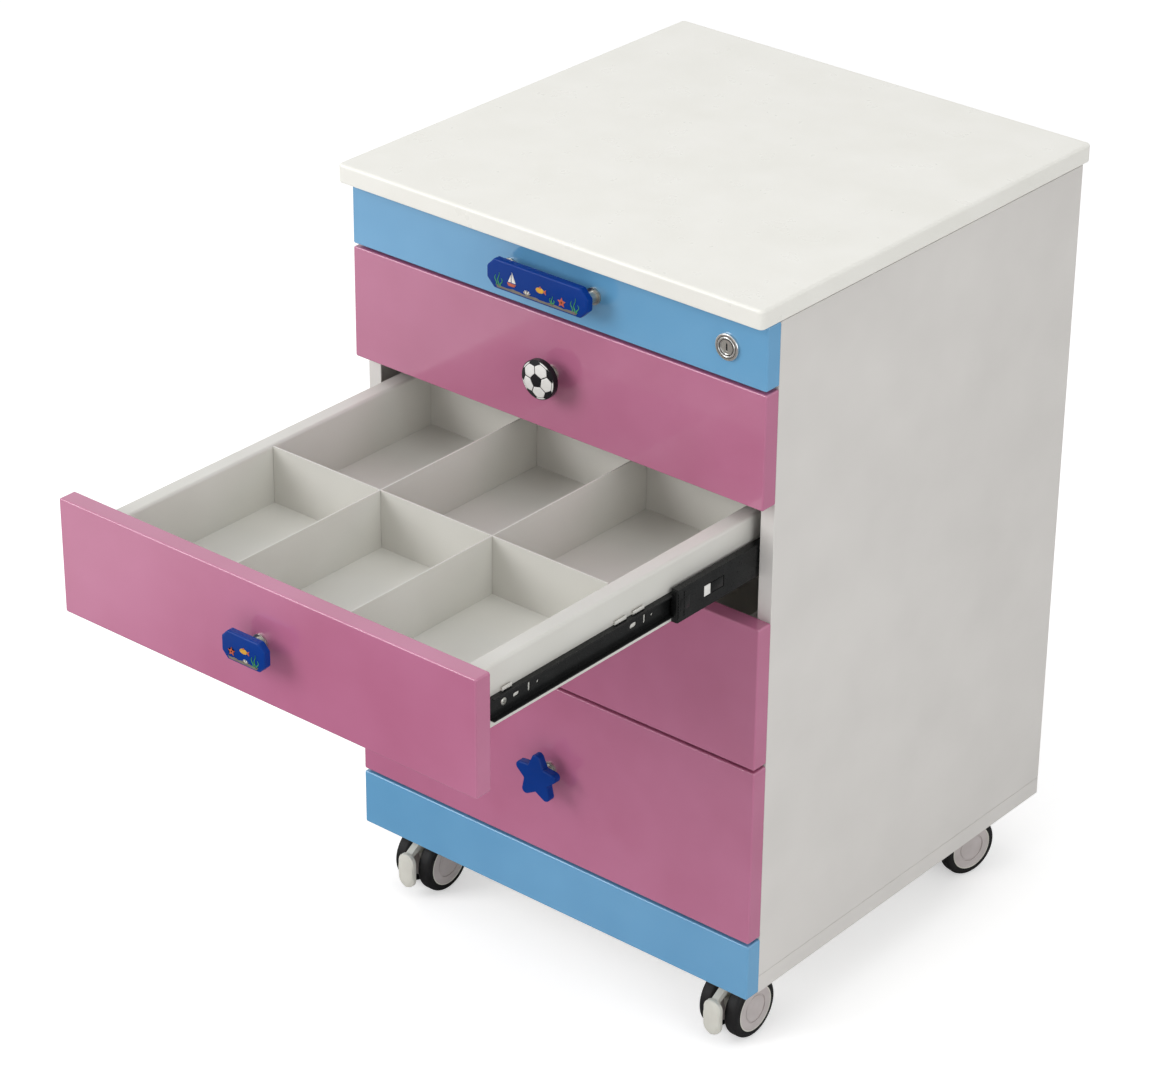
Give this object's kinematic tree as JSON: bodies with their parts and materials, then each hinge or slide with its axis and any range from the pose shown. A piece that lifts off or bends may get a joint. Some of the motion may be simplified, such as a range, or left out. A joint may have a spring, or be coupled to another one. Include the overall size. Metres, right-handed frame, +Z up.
{
  "type": "mobile dental drawer cabinet",
  "caption": "Mobile dental drawer cabinet: steel body on braked twin-wheel castors, mineral worktop, lockable shallow drawer, deeper drawers on ball runners, shaped knobs.",
  "frame": {"origin": "on the floor under the middle of the bounding box, counted with the second drawer standing open", "axes": "+Z up, the drawer fronts face -Y, +X to the right when facing the fronts"},
  "size_m": [0.488, 0.882, 0.7835],
  "materials": {
    "steel_body": "fine-textured light grey powder coat",
    "steel_blue": "satin blue powder coat",
    "steel_pink": "satin pink powder coat",
    "steel_dark": "black coated runner steel",
    "zinc": "zinc-plated steel",
    "mineral_white": "matt cast mineral material",
    "board_dark": "black underlay board",
    "resin_blue": "moulded royal-blue resin",
    "resin_white": "moulded white resin with a black pattern",
    "chrome_lock": "polished chrome",
    "tyre_black": "black polyurethane tread",
    "nylon_grey": "mid-grey moulded nylon",
    "nylon_light": "light-grey moulded nylon"
  },
  "bodies": {
    "cabinet": {"side_panel_left": "steel_body", "side_panel_right": "steel_body", "back_panel": "steel_body", "bottom_panel": "steel_body", "top_panel": "steel_body", "runner_posts": "zinc", "worktop_underlay": "board_dark", "worktop": "mineral_white", "plinth_front": "steel_blue", "runner_outer_members": "steel_dark", "castor_plates": "zinc", "castor_bolts": "zinc"},
    "top_drawer": {"top_drawer_front": "steel_blue", "top_drawer_box": "steel_body", "top_drawer_runner_inner": "steel_dark", "top_drawer_handle": "resin_blue", "top_drawer_stems": "zinc", "lock_housing": "chrome_lock"},
    "top_drawer_middle_members": {"top_drawer_runner_middle": "steel_dark"},
    "drawer_1": {"drawer_1_front": "steel_pink", "drawer_1_box": "steel_body", "drawer_1_runner_inner": "steel_dark", "drawer_1_knob": "resin_white", "drawer_1_stem": "zinc"},
    "drawer_1_middle_members": {"drawer_1_runner_middle": "steel_dark"},
    "drawer_2": {"drawer_2_front": "steel_pink", "drawer_2_box": "steel_body", "drawer_2_runner_inner": "steel_dark", "drawer_2_knob": "resin_blue", "drawer_2_stem": "zinc", "drawer_2_dividers": "steel_body"},
    "drawer_2_middle_members": {"drawer_2_runner_middle": "steel_dark"},
    "drawer_3": {"drawer_3_front": "steel_pink", "drawer_3_box": "steel_body", "drawer_3_runner_inner": "steel_dark", "drawer_3_knob": "resin_blue", "drawer_3_stem": "zinc"},
    "drawer_3_middle_members": {"drawer_3_runner_middle": "steel_dark"},
    "drawer_4": {"drawer_4_front": "steel_pink", "drawer_4_box": "steel_body", "drawer_4_runner_inner": "steel_dark", "drawer_4_knob": "resin_blue", "drawer_4_stem": "zinc"},
    "drawer_4_middle_members": {"drawer_4_runner_middle": "steel_dark"},
    "lock_core": {"lock_plug": "chrome_lock", "lock_cam": "zinc"},
    "castor_front_left_swivel": {"castor_front_left_frame": "nylon_light"},
    "castor_front_left_wheels": {"castor_front_left_tyres": "tyre_black", "castor_front_left_hubs": "nylon_grey"},
    "castor_front_left_brake": {"castor_front_left_pedal": "nylon_light"},
    "castor_front_right_swivel": {"castor_front_right_frame": "nylon_light"},
    "castor_front_right_wheels": {"castor_front_right_tyres": "tyre_black", "castor_front_right_hubs": "nylon_grey"},
    "castor_front_right_brake": {"castor_front_right_pedal": "nylon_light"},
    "castor_back_left_swivel": {"castor_back_left_frame": "nylon_light"},
    "castor_back_left_wheels": {"castor_back_left_tyres": "tyre_black", "castor_back_left_hubs": "nylon_grey"},
    "castor_back_right_swivel": {"castor_back_right_frame": "nylon_light"},
    "castor_back_right_wheels": {"castor_back_right_tyres": "tyre_black", "castor_back_right_hubs": "nylon_grey"}
  },
  "joints": [
    {"name": "top_drawer_slide", "type": "slide", "parent": "cabinet", "child": "top_drawer", "axis": [0, -1, 0], "range_m": [0, 0.3735]},
    {"name": "top_drawer_middle_slide", "type": "slide", "parent": "cabinet", "child": "top_drawer_middle_members", "axis": [0, -1, 0], "range_m": [0, 0.18675]},
    {"name": "drawer_1_slide", "type": "slide", "parent": "cabinet", "child": "drawer_1", "axis": [0, -1, 0], "range_m": [0, 0.3735]},
    {"name": "drawer_1_middle_slide", "type": "slide", "parent": "cabinet", "child": "drawer_1_middle_members", "axis": [0, -1, 0], "range_m": [0, 0.18675]},
    {"name": "drawer_2_slide", "type": "slide", "parent": "cabinet", "child": "drawer_2", "axis": [0, -1, 0], "range_m": [-0.3735, 0]},
    {"name": "drawer_2_middle_slide", "type": "slide", "parent": "cabinet", "child": "drawer_2_middle_members", "axis": [0, -1, 0], "range_m": [-0.18675, 0]},
    {"name": "drawer_3_slide", "type": "slide", "parent": "cabinet", "child": "drawer_3", "axis": [0, -1, 0], "range_m": [0, 0.3735]},
    {"name": "drawer_3_middle_slide", "type": "slide", "parent": "cabinet", "child": "drawer_3_middle_members", "axis": [0, -1, 0], "range_m": [0, 0.18675]},
    {"name": "drawer_4_slide", "type": "slide", "parent": "cabinet", "child": "drawer_4", "axis": [0, -1, 0], "range_m": [0, 0.3735]},
    {"name": "drawer_4_middle_slide", "type": "slide", "parent": "cabinet", "child": "drawer_4_middle_members", "axis": [0, -1, 0], "range_m": [0, 0.18675]},
    {"name": "lock_turn", "type": "hinge", "parent": "top_drawer", "child": "lock_core", "pos_m": [0.197, -0.0455, 0.7316], "axis": [0, -1, 0], "range_deg": [0, 90]},
    {"name": "castor_front_left_swivel_turn", "type": "hinge", "parent": "cabinet", "child": "castor_front_left_swivel", "pos_m": [-0.194, 0.0185, 0.0745], "axis": [0, 0, 1], "continuous": true},
    {"name": "castor_front_left_wheel_spin", "type": "hinge", "parent": "castor_front_left_swivel", "child": "castor_front_left_wheels", "pos_m": [-0.194, 0.0005, 0.031], "axis": [1, 0, 0], "continuous": true},
    {"name": "castor_front_left_pedal_hinge", "type": "hinge", "parent": "castor_front_left_swivel", "child": "castor_front_left_brake", "pos_m": [-0.194, -0.0115, 0.057], "axis": [1, 0, 0], "range_deg": [0, 6]},
    {"name": "castor_front_right_swivel_turn", "type": "hinge", "parent": "cabinet", "child": "castor_front_right_swivel", "pos_m": [0.194, 0.0185, 0.0745], "axis": [0, 0, 1], "continuous": true},
    {"name": "castor_front_right_wheel_spin", "type": "hinge", "parent": "castor_front_right_swivel", "child": "castor_front_right_wheels", "pos_m": [0.194, 0.0005, 0.031], "axis": [1, 0, 0], "continuous": true},
    {"name": "castor_front_right_pedal_hinge", "type": "hinge", "parent": "castor_front_right_swivel", "child": "castor_front_right_brake", "pos_m": [0.194, -0.0115, 0.057], "axis": [1, 0, 0], "range_deg": [0, 6]},
    {"name": "castor_back_left_swivel_turn", "type": "hinge", "parent": "cabinet", "child": "castor_back_left_swivel", "pos_m": [-0.194, 0.3865, 0.0745], "axis": [0, 0, 1], "continuous": true},
    {"name": "castor_back_left_wheel_spin", "type": "hinge", "parent": "castor_back_left_swivel", "child": "castor_back_left_wheels", "pos_m": [-0.194, 0.3685, 0.031], "axis": [1, 0, 0], "continuous": true},
    {"name": "castor_back_right_swivel_turn", "type": "hinge", "parent": "cabinet", "child": "castor_back_right_swivel", "pos_m": [0.194, 0.3865, 0.0745], "axis": [0, 0, 1], "continuous": true},
    {"name": "castor_back_right_wheel_spin", "type": "hinge", "parent": "castor_back_right_swivel", "child": "castor_back_right_wheels", "pos_m": [0.18965, 0.36904, 0.031], "axis": [0.9703, -0.2419, 0], "continuous": true}
  ],
  "couplings": [
    {"joint": "top_drawer_middle_slide", "follows": "top_drawer_slide", "ratio": 0.5},
    {"joint": "drawer_1_middle_slide", "follows": "drawer_1_slide", "ratio": 0.5},
    {"joint": "drawer_2_middle_slide", "follows": "drawer_2_slide", "ratio": 0.5},
    {"joint": "drawer_3_middle_slide", "follows": "drawer_3_slide", "ratio": 0.5},
    {"joint": "drawer_4_middle_slide", "follows": "drawer_4_slide", "ratio": 0.5}
  ]
}
